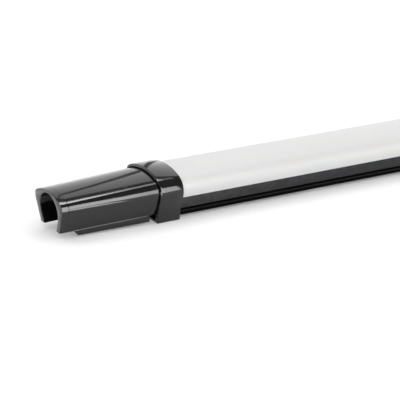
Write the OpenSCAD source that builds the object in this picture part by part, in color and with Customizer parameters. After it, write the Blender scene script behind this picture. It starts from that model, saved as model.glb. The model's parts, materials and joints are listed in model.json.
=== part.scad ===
// LED strip batten: an opal light body on a black extrusion, with a collar and
// a pull-off connector hood at each end and two spring clips on its underside.
// X runs along the batten, Z is up and Z = 0 is the plane that it stands on.

/* [Light body] */
// Length of the aluminium extrusion
body_l = 600; // [600:50:1200]
// Half the width of the light body at its belt, where it is widest
belt_half = 28; // [27.5:0.1:28.5]
// Height of the crown of the diffuser
crown_z = 38.3; // [38:0.1:39]
// Radius of the shallow crown of the diffuser
crown_r = 62.4; // [60:0.5:66]
// Height of the belt
belt_z = 25.5; // [25:0.1:26]
// How far the lower sides lean inwards, in degrees
lean = 22; // [21:0.5:23]
// Height at which the diffuser meets the extrusion
joint_z = 19.1; // [18.8:0.1:19.4]

/* [End caps] */
// Wall of the collar around the light body
collar_wall = 2.1; // [1.8:0.1:2.4]
// Length of the collar along the batten
collar_l = 20; // [18:0.5:24]

/* [Connector hood] */
// Length of the hood that shows outside the collar
hood_l = 81.5; // [70:0.5:100]
// Half width of the hood at its free end
hood_tip_half = 24.4; // [23:0.2:25]
// Height of the hood at its free end
hood_tip_z = 34.3; // [34:0.1:35]
// Half width of the cable tunnel
tunnel_half = 15.8; // [15:0.1:16]

/* [Light engine] */
// Width of an LED board
board_w = 22; // [20:1:24]
// Number of LEDs on a board
leds_per_board = 16; // [8:1:16]

/* [Mounting clips] */
// Length of a clip along the batten
clip_l = 20; // [16:1:26]
// Diameter of the screw hole in a clip
clip_hole_d = 4.5; // [4:0.1:5]
// Thickness of the clip's sheet
clip_t = 0.8; // [0.6:0.1:0.8]

/* [Hidden] */
$fn = 48;

body_floor = 2.4;          // underside of the extrusion
turn_r = 12;               // turn from the belt into the leaning side
skirt_t = 1.8;             // walls of the extrusion: above the deck, thicker below, thinner at the rim
skirt_foot_t = 4;
skirt_rim_t = 1.4;
skirt_rim_z = 16.4;
groove = [6.9, 9.2, 2.4];  // side grooves: bottom, top and depth
cove = [3.4, 6.1, 0.9];
diffuser_t = 2.2;          // wall of the diffuser, and its clip-in lip: gap, inner face and depth
lip_gap = 1.5;
lip_in = 3;
lip_drop = 2.5;
deck_z = 12.8;             // underside of the deck that carries the boards
deck_t = 1.7;
board_z = deck_z + deck_t;
board_t = 1.6;
board_top = board_z + board_t;

rail_in = 9.5;             // T-rail: inner face of a leg, outer face, and tip of its toe
rail_out = 11;
toe_out = 13;
toe_t = 1.8;

gasket_t = 1;              // stack at an end, outwards from the extrusion's end face
cap_wall_out = 4;
collar_face = 7;
hood_in = 4.4;
hood_out = collar_face + hood_l;

boss_y = 18.2;             // screw channels of the end caps
boss_z = 11.5;
boss_r = 2.9;
thread_r = 1.5;
shank_r = 1.45;
screw_clear = 0.3;         // gap between a screw and its hole
cap_head_r = 2.8;
cap_head_h = 2;
cap_shank_end = -10;       // how far a cap screw reaches into its channel

peg_y = 21.3;              // pegs of the end cap that carry the hood
peg_z = 23;
peg_r = 2.5;
peg_l = 12;
peg_gap = 0.1;
head_pocket_r = 3.3;
socket_fit = 0.15;         // gap between the cap and the light body
collar_foot_z = 9.2;       // where the collar's leaning side turns into its foot
collar_foot = [[23.6, 1], [22.6, 0]];

hood_root = [belt_half - 0.6, crown_z - 0.6, crown_r, belt_z, 11.4, lean, 7.2];
hood_tip = [hood_tip_half, hood_tip_z, 53.6, 25, 11, 23.5, 4.9];
tunnel = [tunnel_half, 32.5, 18, 19, 14, 24, -1];
rail_full = hood_out - 16.5;   // foot rail of the hood: full height, start of its slope, stop
rail_slope = hood_out - 12.5;
rail_stop = hood_out - 76;
slice_t = 0.1;

socket_z = 23.8;           // connector at each end
socket_r = 6.8;
flange_r = 7.8;
throat_r = 6;
throat_in = -4;
flange_x = 5;
barrel_x = 6.5;
barrel_end = 20;
cavity_r = 5.2;
cavity_x = 8;
nut_r = 7.2;
nut_x = -1.5;
nut_h = 2.5;
gasket_bore_r = 9;
contact_ring = 2.6;
contact_r = 0.75;          // thin end of a contact, and its thick root
contact_root_r = 1.6;
contact_end = 17;
tail_x = -6;

end_clear = 6;             // free length of deck beyond the boards
board_gap = 2;
board_l = (body_l - 2 * end_clear - 2 * board_gap) / 3;
led_pitch = board_l / leds_per_board;

board_screw_in = 24;       // board screws: distance from a board's end, and from the LED row
board_screw_y = 7;
board_hole_r = 1.7;
board_head = [2.7, 1.6];
led_size = [3.5, 2.8, 0.7];
chip_size = [6.2, 5, 1.6];
link_size = [12, 6, 2.6];
link_y = 3.5;
fuse_r = 2;
varistor_size = [3.4, 3.4];
rectifier_size = [8.5, 6.4, 2.6];

terminal_l = 7.6;          // three-pole terminal at the end of the first and last board
terminal_x = -end_clear - led_pitch - terminal_l / 2;
terminal_w = 13;
terminal_h = 5.4;
pole = 4;
pole_z = board_top + 3;
pole_r = 0.95;
lead_r = 0.8;
core_r = 0.6;

clip_x = body_l / 4;
pad_z = 1.75;              // clip: middle of the sheet on its raised pads
arm_y = 13.9;
arm_hole_r = 1.7;
arm_hole_z = 8;

// ---- outlines -------------------------------------------------------------

// Points along an arc about c, from angle a0 to a1
function arc(c, r, a0, a1, n) =
    [for (i = [0:n]) let (a = a0 + (a1 - a0) * i / n) [c[0] + r * cos(a), c[1] + r * sin(a)]];

function unit(v) = v / norm(v);

// Mirrors the right half of an outline to close it
function closed(half) =
    concat(half, [for (i = [len(half) - 1:-1:0]) [-half[i][0], half[i][1]]]);

// Radius that joins a crown of radius cr to an upright side at the belt
function shoulder_r(half, top, cr, bz) =
    (cr * cr - half * half - pow(bz - top + cr, 2)) / (2 * (cr - half));

// Right half of a section: crown, shoulder, turn below the belt, leaning side
function side(half, top, cr, bz, tr, ln, end_z) =
    let (sr = shoulder_r(half, top, cr, bz))
    let (a = atan2(bz - top + cr, half - sr))
    let (y1 = half - tr * (1 - cos(ln)))
    let (z1 = bz - tr * sin(ln))
    concat(arc([0, top - cr], cr, 90, a, 10), arc([half - sr, bz], sr, a - 6, 0, 8),
        arc([half - tr, bz], tr, -ln / 3, -ln, 2), [[y1 - (z1 - end_z) * tan(ln), end_z]]);

// The same from a list of the seven sizes
function side_of(s) = side(s[0], s[1], s[2], s[3], s[4], s[5], s[6]);

// Section of the light body, grown by d, down to end_z
function body_side(d, end_z) =
    side(belt_half + d, crown_z + d, crown_r + d, belt_z, turn_r + d, lean, end_z);

module body_shape(d = 0, end_z = body_floor) polygon(closed(body_side(d, end_z)));

// Half width of the leaning side at height z, set in by a depth square to it
function lean_y(z, inset = 0) =
    belt_half - turn_r * (1 - cos(lean)) - (belt_z - turn_r * sin(lean) - z) * tan(lean) - inset / cos(lean);

// Keeps what lies between two heights
module band(z0, z1) {
    intersection() {
        children();
        translate([-60, z0]) square([120, z1 - z0]);
    }
}

// Extrudes a YZ outline along X from x0 to x1
module along(x0, x1) {
    translate([x0, 0, 0]) rotate([90, 0, 90]) linear_extrude(x1 - x0) children();
}

// Places a part of an end: +X leads outwards from the extrusion's end face
module near_end() mirror([1, 0, 0]) translate([body_l / 2, 0, 0]) children();
module far_end() translate([body_l / 2, 0, 0]) children();

module both_sides() {
    children();
    mirror([0, 1, 0]) children();
}

// Cylinder along +X
module rod_x(r, x0, x1, y = 0, z = 0) {
    translate([x0, y, z]) rotate([0, 90, 0]) cylinder(r = r, h = x1 - x0);
}

// Round wire between two points
module wire(p, q, r) {
    d = q - p;
    translate(p) rotate([0, acos(d[2] / norm(d)), atan2(d[1], d[0])]) cylinder(r = r, h = norm(d));
}

// ---- extrusion and diffuser -------------------------------------------------

// A slot cut square into the leaning side: s holds its bottom, top and depth
function side_slot(s) = [[lean_y(s[1]), s[1]], [lean_y(s[1], s[2]), s[1]],
    [lean_y(s[0], s[2]), s[0]], [lean_y(s[0]), s[0]]];

// Right half of the profile, one walk from the deck's top to its underside
extrusion_half = concat(
    [[lean_y(board_z, skirt_t), board_z], [lean_y(skirt_rim_z, skirt_t), skirt_rim_z],
        [lean_y(skirt_rim_z, skirt_rim_t), skirt_rim_z], [lean_y(joint_z, skirt_rim_t), joint_z],
        [lean_y(joint_z), joint_z]],
    side_slot(groove), side_slot(cove),
    [[lean_y(body_floor), body_floor], [lean_y(body_floor, skirt_foot_t), body_floor]],
    arc([boss_y, boss_z], boss_r, 262.5, 180 - asin((deck_z - boss_z) / boss_r), 8),
    [[rail_out, deck_z], [rail_out, body_floor + toe_t], [toe_out, body_floor + toe_t],
        [toe_out, body_floor], [rail_in, body_floor], [rail_in, deck_z]]);

module base_extrusion() color([0.09, 0.09, 0.1]) difference() {
    along(-body_l / 2, body_l / 2) polygon(closed(extrusion_half));
    both_sides() rod_x(thread_r, -body_l / 2 - 1, body_l / 2 + 1, boss_y, boss_z);
    board_screw_places() translate([0, 0, deck_z - 1]) cylinder(r = thread_r, h = deck_t + 2);
}

module diffuser() color([0.93, 0.94, 0.95]) along(-body_l / 2, body_l / 2) {
    difference() {
        union() {
            band(joint_z, crown_z + 1) body_shape();
            band(joint_z - lip_drop, joint_z + 1) body_shape(-lip_gap);
        }
        band(joint_z + 0.9, crown_z + 1) body_shape(-diffuser_t);
        band(joint_z - lip_drop - 1, joint_z + 1) body_shape(-lip_in);
    }
}

// ---- end caps -----------------------------------------------------------------

// Outline of the collar: the body's section grown by its wall, on a straight foot
module collar_shape() polygon(closed(concat(body_side(collar_wall, collar_foot_z), collar_foot)));

module end_cap() {
    difference() {
        union() {
            difference() {
                along(collar_face - collar_l, collar_face) collar_shape();
                along(collar_face - collar_l - 1, gasket_t) body_shape(socket_fit, body_floor - socket_fit);
                along(cap_wall_out, collar_face + 1) body_shape(socket_fit, body_floor);
            }
            both_sides() rod_x(peg_r, cap_wall_out - 1, cap_wall_out + peg_l, peg_y, peg_z);
        }
        rod_x(throat_r + 0.2, 0, collar_face, 0, socket_z);
        both_sides() rod_x(shank_r + screw_clear, 0, collar_face, boss_y, boss_z);
    }
}

module near_end_cap() color([0.04, 0.04, 0.045]) near_end() end_cap();
module far_end_cap() color([0.04, 0.04, 0.045]) far_end() end_cap();

// Flat seal between the extrusion's end and the cap's wall
module gasket() {
    difference() {
        along(0, gasket_t) body_shape();
        rod_x(gasket_bore_r, -1, 2, 0, socket_z);
        both_sides() rod_x(shank_r + screw_clear, -1, 2, boss_y, boss_z);
    }
}

module near_gasket() color([0.3, 0.3, 0.32]) near_end() gasket();
module far_gasket() color([0.3, 0.3, 0.32]) far_end() gasket();

// Pan-head screws that draw the cap onto the extrusion
module cap_screws() {
    both_sides() {
        rod_x(shank_r, cap_shank_end, cap_wall_out + 0.1, boss_y, boss_z);
        difference() {
            rod_x(cap_head_r, cap_wall_out, cap_wall_out + cap_head_h, boss_y, boss_z);
            translate([cap_wall_out + cap_head_h - 0.8, boss_y, boss_z]) cross_recess();
        }
    }
}

// Cross-shaped driver recess, open towards +X
module cross_recess() {
    for (turn = [0, 90]) rotate([turn, 0, 0]) translate([0, -1.4, -0.3]) cube([2, 2.8, 0.6]);
}

module near_cap_screws() color("silver") near_end() cap_screws();
module far_cap_screws() color("silver") far_end() cap_screws();

// ---- connector hood -----------------------------------------------------------

module hood_slice(x, section) along(x, x + slice_t) polygon(closed(side_of(section)));

// Foot rail under one leg, tapering with the hood
module foot_rail() {
    hull() {
        along(rail_full, rail_full + slice_t) polygon([[13.6, 1.1], [17.6, 1.1], [18.3, 6.4], [14, 7]]);
        along(rail_slope, rail_slope + slice_t) polygon([[13.8, 5.6], [18, 5.6], [18.3, 6.4], [14, 7]]);
        along(rail_stop - slice_t, rail_stop) polygon([[15.6, 2.4], [20.8, 2.4], [22, 8.2], [15, 9.4]]);
    }
}

module hood() {
    difference() {
        union() {
            hull() {
                hood_slice(hood_in, hood_root);
                hood_slice(hood_out - slice_t, hood_tip);
            }
            both_sides() foot_rail();
        }
        along(hood_in - 1, hood_out + 1) polygon(closed(side_of(tunnel)));
        both_sides() rod_x(peg_r + peg_gap, hood_in - 1, cap_wall_out + peg_l + 1, peg_y, peg_z);
        both_sides() rod_x(head_pocket_r, hood_in - 1, cap_wall_out + cap_head_h + 1, boss_y, boss_z);
    }
}

module near_hood() color([0.04, 0.04, 0.045]) near_end() hood();
module far_hood() color([0.04, 0.04, 0.045]) far_end() hood();

// ---- connectors -----------------------------------------------------------------

// Round chassis connector: threaded throat inside, flange and socket barrel outside
module connector_shell() {
    difference() {
        union() {
            rod_x(throat_r, throat_in, flange_x + 0.1, 0, socket_z);
            rod_x(flange_r, flange_x, barrel_x, 0, socket_z);
            rod_x(socket_r, barrel_x - 0.1, barrel_end, 0, socket_z);
        }
        rod_x(cavity_r, cavity_x, barrel_end + 1, 0, socket_z);
        contact_places() rod_x(contact_root_r, throat_in - 1, cavity_x + 1);
    }
}

module contact_places() {
    for (turn = [90, 210, 330])
        translate([0, contact_ring * cos(turn), socket_z + contact_ring * sin(turn)]) children();
}

module inlet_shell() color([0.12, 0.12, 0.13]) near_end() connector_shell();
module outlet_shell() color([0.12, 0.12, 0.13]) far_end() connector_shell();

// Flat seal under the connector's flange
module connector_seal() {
    difference() {
        rod_x(flange_r - 0.3, cap_wall_out, flange_x, 0, socket_z);
        rod_x(throat_r, cap_wall_out - 1, flange_x + 1, 0, socket_z);
    }
}

module inlet_seal() color([0.5, 0.16, 0.1]) near_end() connector_seal();
module outlet_seal() color([0.5, 0.16, 0.1]) far_end() connector_seal();

// Thin hexagon nut inside the cap's wall
module connector_nut() {
    difference() {
        translate([nut_x, 0, socket_z]) rotate([0, 90, 0]) cylinder(r = nut_r, h = nut_h, $fn = 6);
        rod_x(throat_r, nut_x - 1, nut_x + nut_h + 1, 0, socket_z);
    }
}

module inlet_nut() color("silver") near_end() connector_nut();
module outlet_nut() color("silver") far_end() connector_nut();

module inlet_pins() color("gold") near_end() contact_places() {
    contact_body();
    rod_x(contact_r, cavity_x - 0.1, contact_end);
}

module outlet_sleeves() color("gold") far_end() contact_places() {
    contact_body();
    difference() {
        rod_x(contact_root_r, cavity_x - 0.1, contact_end);
        rod_x(contact_r + 0.05, cavity_x + 1, contact_end + 1);
    }
}

// Root and solder tail, the same on a pin and on a sleeve
module contact_body() {
    rod_x(contact_root_r, throat_in, cavity_x);
    rod_x(contact_r, tail_x, throat_in + 0.1);
}

// ---- light engine -----------------------------------------------------------------

// Start of board i, counted from the near end
function board_x(i) = -body_l / 2 + end_clear + i * (board_l + board_gap);

// Screw places: two per board, one each side of the LED row at either end
module board_screw_places() {
    for (i = [0:2]) {
        translate([board_x(i) + board_screw_in, board_screw_y, 0]) children();
        translate([board_x(i) + board_l - board_screw_in, -board_screw_y, 0]) children();
    }
}

module led_board(i) color([0.95, 0.95, 0.94]) {
    difference() {
        translate([board_x(i), -board_w / 2, board_z]) cube([board_l, board_w, board_t]);
        board_screw_places() translate([0, 0, board_z - 1]) cylinder(r = board_hole_r, h = board_t + 2);
    }
}

module leds(i) color([0.98, 0.85, 0.35]) {
    for (k = [0:leds_per_board - 1])
        translate([board_x(i) + (k + 0.5) * led_pitch, 0, board_top + led_size[2] / 2])
            cube(led_size, center = true);
}

module led_board_1() led_board(0);
module led_board_2() led_board(1);
module led_board_3() led_board(2);
module leds_1() leds(0);
module leds_2() leds(1);
module leds_3() leds(2);

// Plug-in links that carry the supply across the gaps between boards
module board_links() color("white") {
    for (i = [1, 2])
        translate([board_x(i) - board_gap / 2 - link_size[0] / 2, link_y, board_top]) cube(link_size);
}

module board_screws() color("silver") board_screw_places() {
    translate([0, 0, deck_z - 0.6]) cylinder(r = shank_r, h = board_top - deck_z + 0.7);
    translate([0, 0, board_top]) cylinder(r = board_head[0], h = board_head[1]);
}

// Constant-current regulators, three to a board
module driver_chips() color([0.1, 0.1, 0.1]) {
    for (i = [0:2])
        for (k = [1:3])
            translate([board_x(i) + k * board_l / 4, -board_screw_y, board_top + chip_size[2] / 2])
                cube(chip_size, center = true);
}

// Supply parts on the first board, at distances from its near end
module fuse() color([0.2, 0.45, 0.25])
    rod_x(fuse_r, board_x(0) + 34, board_x(0) + 42, board_screw_y, board_top + fuse_r);

module varistor() color([0.1, 0.25, 0.6])
    translate([board_x(0) + 62, board_screw_y, board_top]) cylinder(r = varistor_size[0], h = varistor_size[1]);

module rectifier() color([0.1, 0.1, 0.1])
    translate([board_x(0) + 74, 4, board_top]) cube(rectifier_size);

module terminal() {
    difference() {
        translate([terminal_x, -terminal_w / 2, board_top]) cube([terminal_l, terminal_w, terminal_h]);
        for (k = [-1:1]) rod_x(pole_r, terminal_x + 3, terminal_x + terminal_l + 1, k * pole, pole_z);
    }
}

module near_terminal() color([0.9, 0.9, 0.88]) near_end() terminal();
module far_terminal() color([0.9, 0.9, 0.88]) far_end() terminal();

// Insulated leads from the connector's tails, each with a bare core in a pole of the terminal
module leads() {
    for (k = [-1:1]) {
        turn = 90 + 120 * k;
        tail = [tail_x, contact_ring * cos(turn), socket_z + contact_ring * sin(turn)];
        mouth = [terminal_x + terminal_l + 1.5, -k * pole, pole_z];
        wire(tail, mouth + 0.6 * unit(mouth - tail), lead_r);
        wire(mouth + [0.2, 0, 0], [terminal_x + 3.5, -k * pole, pole_z], core_r);
    }
}

module near_leads() color([0.35, 0.5, 0.75]) near_end() leads();
module far_leads() color([0.35, 0.5, 0.75]) far_end() leads();

// ---- mounting clips ---------------------------------------------------------------

// Middle line of the bent sheet, from the screw base out to the flared lip
clip_half = [[0, clip_t / 2], [8.2, clip_t / 2], [9.6, pad_z], [arm_y, pad_z], [arm_y, 5],
    [12, 6.6], [14.4, 10.2]];
clip_line = concat([for (i = [len(clip_half) - 1:-1:1]) [-clip_half[i][0], clip_half[i][1]]], clip_half);

// Offset of point i of a line by d to its left, with mitred corners
function mitre(line, i, d) =
    let (a = i > 0 ? unit(line[i] - line[i - 1]) : unit(line[1] - line[0]))
    let (b = i < len(line) - 1 ? unit(line[i + 1] - line[i]) : a)
    let (n = unit([-a[1] - b[1], a[0] + b[0]]))
    line[i] + n * d / (n * [-b[1], b[0]]);

function ribbon(line, t) = concat([for (i = [0:len(line) - 1]) mitre(line, i, t / 2)],
    [for (i = [len(line) - 1:-1:0]) mitre(line, i, -t / 2)]);

module clip() {
    difference() {
        along(-clip_l / 2, clip_l / 2) polygon(ribbon(clip_line, clip_t));
        translate([0, 0, -1]) cylinder(d = clip_hole_d, h = 3);
        translate([0, 0, arm_hole_z]) rotate([90, 0, 0]) cylinder(r = arm_hole_r, h = 40, center = true);
    }
}

module clip_a() color([0.8, 0.8, 0.8]) translate([-clip_x, 0, 0]) clip();
module clip_b() color([0.8, 0.8, 0.8]) translate([clip_x, 0, 0]) clip();

base_extrusion();
diffuser();
near_end_cap();
far_end_cap();
near_gasket();
far_gasket();
near_cap_screws();
far_cap_screws();
near_hood();
far_hood();
inlet_shell();
outlet_shell();
inlet_seal();
outlet_seal();
inlet_nut();
outlet_nut();
inlet_pins();
outlet_sleeves();
near_leads();
far_leads();
near_terminal();
far_terminal();
led_board_1();
led_board_2();
led_board_3();
leds_1();
leds_2();
leds_3();
board_links();
board_screws();
driver_chips();
fuse();
varistor();
rectifier();
clip_a();
clip_b();
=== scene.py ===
# %% [markdown]
# # LED strip batten
# A linkable strip light: an opal dome on a black aluminium extrusion, a gloss
# collar and a pull-off connector hood at each end, and two spring clips that
# slide in a rail underneath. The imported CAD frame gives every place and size.
# Each shell is modelled here again with real edge radii, because gloss black
# shows its form only through the highlights on its edges and curves.

# %% Load the frame
import json
import math

import bmesh
import bpy
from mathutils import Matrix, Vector


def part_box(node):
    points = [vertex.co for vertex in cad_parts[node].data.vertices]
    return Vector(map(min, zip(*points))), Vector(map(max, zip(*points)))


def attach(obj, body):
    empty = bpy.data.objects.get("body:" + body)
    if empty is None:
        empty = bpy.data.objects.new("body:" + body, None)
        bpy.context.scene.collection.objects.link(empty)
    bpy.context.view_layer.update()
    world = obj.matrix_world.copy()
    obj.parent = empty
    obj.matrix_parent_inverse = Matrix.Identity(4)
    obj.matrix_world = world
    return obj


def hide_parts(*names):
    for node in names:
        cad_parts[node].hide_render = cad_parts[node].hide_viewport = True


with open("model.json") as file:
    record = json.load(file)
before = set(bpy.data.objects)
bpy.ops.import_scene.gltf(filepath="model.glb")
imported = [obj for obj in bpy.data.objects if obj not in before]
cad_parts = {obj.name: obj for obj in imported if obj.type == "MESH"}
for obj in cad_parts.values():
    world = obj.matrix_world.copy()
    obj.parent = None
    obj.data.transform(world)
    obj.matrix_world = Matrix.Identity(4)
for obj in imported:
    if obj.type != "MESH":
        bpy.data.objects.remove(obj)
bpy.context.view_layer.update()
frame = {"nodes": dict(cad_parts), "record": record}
MM = 0.001

# %% [markdown]
# ## Sizes that the frame gives
# The script works in millimetres and scales to metres when a mesh is made. The
# extrusion's box says where the light body ends, the diffuser's box gives the
# belt and the crown, and the hood's box says how far it reaches.

# %% Driving sizes
extrusion_low, extrusion_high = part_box("base_extrusion")
_, diffuser_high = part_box("diffuser")
hood_low, hood_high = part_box("far_hood")
cap_low, cap_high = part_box("far_end_cap")
BODY_END = extrusion_high.x / MM
BODY_FLOOR = extrusion_low.z / MM
JOINT_Z = extrusion_high.z / MM
BELT_HALF = diffuser_high.y / MM
CROWN_Z = diffuser_high.z / MM
HOOD_IN = hood_low.x / MM - BODY_END
HOOD_OUT = hood_high.x / MM - BODY_END
COLLAR_IN = cap_low.x / MM - BODY_END
COLLAR_FACE = 7
COLLAR_WALL = cap_high.y / MM - BELT_HALF
CROWN_R, BELT_Z, TURN_R, LEAN = 62.4, 25.5, 12, 22
SIDE_TOP = -3  # the outline's point at which its straight side begins
print("body end", round(BODY_END, 1), "hood", round(HOOD_IN, 1), "to", round(HOOD_OUT, 1))

# %% [markdown]
# ## Outlines
# Every shell of the batten is cut to the same family of outlines: a shallow
# crown, a tight shoulder, an upright belt and sides that lean inwards. Arcs
# that meet at a common tangent give that shape with four radii, and the
# shoulder's radius follows from the others. Only the right half is worked out;
# the left half is its mirror image.

# %% Arcs and the half outline
def arc(centre, radius, start, stop, steps):
    """Points on an arc from start to stop degrees, both ends included."""
    turns = [math.radians(start + (stop - start) * i / steps) for i in range(steps + 1)]
    return [(centre[0] + radius * math.cos(t), centre[1] + radius * math.sin(t)) for t in turns]


def half_outline(half, top, crown_r, belt_z, turn_r, lean, foot_z):
    """Right half of a shell's outline, from the crown down to foot_z."""
    low = belt_z - top + crown_r
    shoulder = (crown_r ** 2 - half ** 2 - low ** 2) / (2 * (crown_r - half))
    meet = math.degrees(math.atan2(low, half - shoulder))
    crown = arc((0, top - crown_r), crown_r, 90, meet, 10)
    turn = arc((half - shoulder, belt_z), shoulder, meet, 0, 10)
    under = arc((half - turn_r, belt_z), turn_r, 0, -lean, 4)
    y, z = under[-1]
    side = [(y - (z - h) * math.tan(math.radians(lean)), h) for h in (0.5 * (z + foot_z), foot_z)]
    return crown + turn[1:] + under[1:] + side


def body_half(grow=0, foot_z=BODY_FLOOR):
    """Right half of the light body's outline, grown outwards by grow."""
    return half_outline(BELT_HALF + grow, CROWN_Z + grow, CROWN_R + grow, BELT_Z, TURN_R + grow, LEAN, foot_z)


def mirrored(right):
    """Closes a right half whose first and last points may lie on the middle line."""
    left = [(-y, z) for y, z in reversed(right) if abs(y) > 1e-6]
    return right + left


def side_y(z, inset=0):
    """Half width of the leaning side of the light body at a height."""
    y, top = body_half(-inset)[SIDE_TOP]
    return y - (top - z) * math.tan(math.radians(LEAN))


print("outline points:", len(mirrored(body_half())))

# %% [markdown]
# ## Building and finishing meshes
# A shell is a row of closed loops that bridge_loops joins, like the ribs and
# planking of a boat. Rounded rims are bevels on the edges that the shape needs
# sharp. A finished mesh has its faces turned outwards, is shaded smooth up to
# a set angle and rides on its CAD body.

# %% Mesh helpers
def add_loop(bm, outline, place):
    """One closed loop of edges; place turns an outline point into a position in mm."""
    verts = [bm.verts.new(Vector(place(y, z)) * MM) for y, z in outline]
    return [bm.edges.new((a, b)) for a, b in zip(verts, verts[1:] + verts[:1])]


def at_x(x):
    return lambda y, z: (x, y, z)


def skin(bm, loops, cap_first=True, cap_last=True):
    """Bridges each loop to the next and closes the ends."""
    for a, b in zip(loops, loops[1:]):
        bmesh.ops.bridge_loops(bm, edges=a + b)
    for loop, wanted in ((loops[0], cap_first), (loops[-1], cap_last)):
        if wanted:
            bmesh.ops.contextual_create(bm, geom=loop)


def round_edges(bm, edges, radius, segments=3):
    bmesh.ops.bevel(bm, geom=edges, offset=radius * MM, offset_type="OFFSET", segments=segments,
        profile=0.5, affect="EDGES", material=-1, clamp_overlap=True)


def sharp_edges(bm, angle, keep=lambda e: True):
    """Edges whose two faces meet at more than angle degrees."""
    limit = math.radians(angle)
    return [e for e in bm.edges if len(e.link_faces) == 2 and e.calc_face_angle(0) > limit and keep(e)]


def lathe(bm, profile, x0, y, z, steps=48):
    """Spins a profile of (x, radius) points about a line along X."""
    centre = Vector((x0, y, z)) * MM
    verts = [bm.verts.new(centre + Vector((x, 0, r)) * MM) for x, r in profile]
    edges = [bm.edges.new(pair) for pair in zip(verts, verts[1:])]
    bmesh.ops.spin(bm, geom=verts + edges, cent=centre, axis=(1, 0, 0), angle=math.tau,
        steps=steps, use_merge=True)
    bmesh.ops.remove_doubles(bm, verts=bm.verts, dist=1e-7)


def finish_piece(bm, name, body, slot, stands_for, far=True, smooth_angle=35):
    """Makes the object, mirrors it to the near end if asked, and fixes it to its body."""
    if not far:
        for v in bm.verts:
            v.co.x = -v.co.x
    bmesh.ops.recalc_face_normals(bm, faces=bm.faces)
    mesh = bpy.data.meshes.new(name)
    bm.to_mesh(mesh)
    bm.free()
    for face in mesh.polygons:
        face.use_smooth = True
    mesh.set_sharp_from_angle(angle=math.radians(smooth_angle))
    piece = bpy.data.objects.new(name, mesh)
    bpy.context.scene.collection.objects.link(piece)
    piece.data.materials.append(finishes[slot])
    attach(piece, body)
    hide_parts(*stands_for)
    print(name, len(mesh.polygons), "faces")

# %% [markdown]
# ## Shared surface effects
# Real parts differ from clean renders in the same few ways: their gloss drifts
# a little, handling leaves hairlines, dust settles on what faces up, edges are
# rubbed first, and drawn or rolled metal shows lines along its length. Each of
# these is one node group in object coordinates, so a scene can reuse it, and
# each gives only a mask or a value.

# %% Node helpers
def feed(tree, value, socket):
    """Links a socket to an input, or sets the input's own value."""
    if isinstance(value, bpy.types.NodeSocket):
        tree.links.new(value, socket)
    else:
        socket.default_value = value


def add(tree, kind, *inputs, **settings):
    """A shader node with its inputs fed in order, and its properties and other inputs by name."""
    node = tree.nodes.new("ShaderNode" + kind)
    for value, socket in zip(inputs, node.inputs):
        feed(tree, value, socket)
    for key, value in settings.items():
        if hasattr(node, key):
            setattr(node, key, value)
        else:
            feed(tree, value, node.inputs[key.replace("_", " ")])
    return node


def product(tree, a, b):
    return add(tree, "Math", a, b, operation="MULTIPLY").outputs[0]


def new_effect(name, sockets, result="Mask"):
    """An empty node group: its tree, what it is given and the one socket of its result."""
    tree = bpy.data.node_groups.new(name, "ShaderNodeTree")
    tree.interface.new_socket(name="Position", in_out="INPUT", socket_type="NodeSocketVector")
    for label, value in sockets.items():
        given = tree.interface.new_socket(name=label, in_out="INPUT", socket_type="NodeSocketFloat")
        given.default_value = value
    tree.interface.new_socket(name=result, in_out="OUTPUT", socket_type="NodeSocketFloat")
    return tree, tree.nodes.new("NodeGroupInput").outputs, tree.nodes.new("NodeGroupOutput").inputs[0]


def use(tree, effect, position, **values):
    """Places an effect in a material and returns its result."""
    node = add(tree, "Group", node_tree=effect)
    for label, value in values.items():
        feed(tree, value, node.inputs[label])
    tree.links.new(position, node.inputs["Position"])
    return node.outputs[0]

# %% [markdown]
# Moulded plastic and drawn metal never have quite one roughness. A soft cloud
# noise, stretched to a low and a high value, gives that drift, and the same
# group sets it for plastic, metal and rubber alike.

# %% Gloss drift
def make_gloss_drift():
    tree, given, result = new_effect("gloss_drift", {"Scale": 40.0, "Low": 0.0, "High": 1.0}, "Value")
    clouds = add(tree, "TexNoise", Vector=given["Position"], Scale=given["Scale"], Detail=5.0, Roughness=0.55)
    spread = add(tree, "MapRange", clouds.outputs["Fac"], From_Min=0.3, From_Max=0.7,
        To_Min=given["Low"], To_Max=given["High"])
    tree.links.new(spread.outputs[0], result)
    return tree


gloss_drift = make_gloss_drift()

# %% [markdown]
# Hairlines are the thin contour of a noise that is stretched in one direction,
# broken up by a second, larger noise. Two sets at different angles cross.

# %% Hairline scratches
def make_hairlines():
    tree, given, result = new_effect("hairlines", {"Scale": 60.0, "Width": 0.01})
    patches = add(tree, "TexNoise", Vector=given["Position"], Scale=35.0, Detail=2.0)
    broken = add(tree, "MapRange", patches.outputs["Fac"], From_Min=0.5, From_Max=0.62)
    sets = []
    for turn in (0.35, -0.9):
        stretch = add(tree, "Mapping", given["Position"], Rotation=(turn, 0.2 * turn, turn),
            Scale=(1.0, 14.0, 14.0))
        lines = add(tree, "TexNoise", Vector=stretch.outputs[0], Scale=given["Scale"], Detail=1.0)
        centred = add(tree, "Math", lines.outputs["Fac"], 0.5, operation="SUBTRACT")
        thin = add(tree, "Math", centred.outputs[0], operation="ABSOLUTE")
        sets.append(add(tree, "Math", thin.outputs[0], given["Width"], operation="LESS_THAN").outputs[0])
    both = add(tree, "Math", *sets, operation="MAXIMUM")
    tree.links.new(product(tree, both.outputs[0], broken.outputs[0]), result)
    return tree


hairlines = make_hairlines()

# %% [markdown]
# Dust is a scatter of small round specks that is kept only where the surface
# faces up, with bare patches between.

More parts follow.
